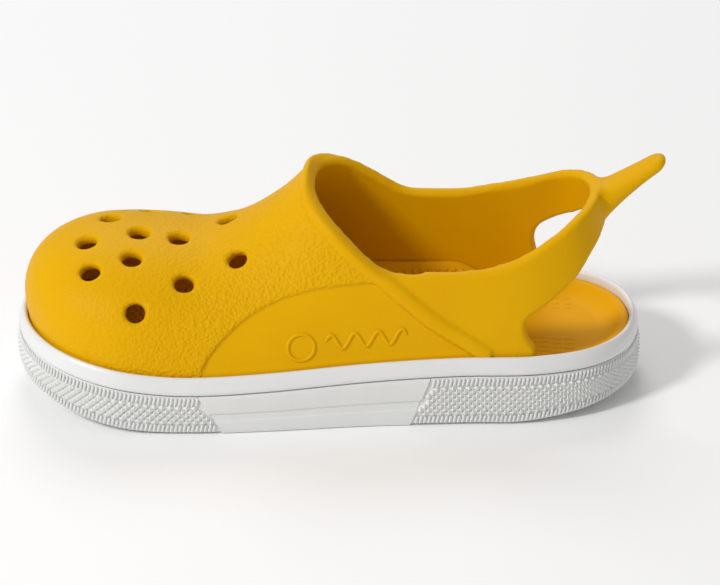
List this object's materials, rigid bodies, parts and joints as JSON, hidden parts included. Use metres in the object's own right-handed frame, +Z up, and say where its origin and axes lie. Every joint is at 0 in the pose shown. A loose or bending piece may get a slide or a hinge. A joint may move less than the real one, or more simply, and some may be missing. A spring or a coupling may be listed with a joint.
{
  "type": "rubber garden clog",
  "caption": "Child's moulded foam clog for the left foot, with a vented round toe, a flexible heel strap with a pull tab, and a white rubber sole with textured toe and heel bumpers.",
  "frame": {"origin": "on the ground under the front of the ankle opening, on the middle line of the heel", "axes": "+X from the toe to the heel, -Y to the outer side of the foot, +Z up"},
  "size_m": [0.207, 0.0843, 0.077],
  "materials": {
    "yellow_eva": "moulded EVA foam, satin, fine pebble grain on the toe",
    "yellow_footbed": "moulded EVA foam, matte, massage nubs",
    "white_midsole": "smooth satin moulded foam rubber",
    "white_rubber": "satin moulded rubber with fine ribs and pyramids"
  },
  "bodies": {
    "shoe": {"upper": "yellow_eva", "footbed": "yellow_footbed", "midsole": "white_midsole", "outsole": "white_rubber", "toe_bumper": "white_rubber", "heel_bumper": "white_rubber"},
    "strap": {"heel_strap": "yellow_eva"}
  },
  "joints": [
    {"name": "heel_strap_flex", "type": "hinge", "parent": "shoe", "child": "strap", "pos_m": [0.05942, 0, 0.03538], "axis": [0.0871, 0.9895, 0.1158], "range_deg": [0, 25], "stiffness_Nm_per_rad": 0.6}
  ]
}
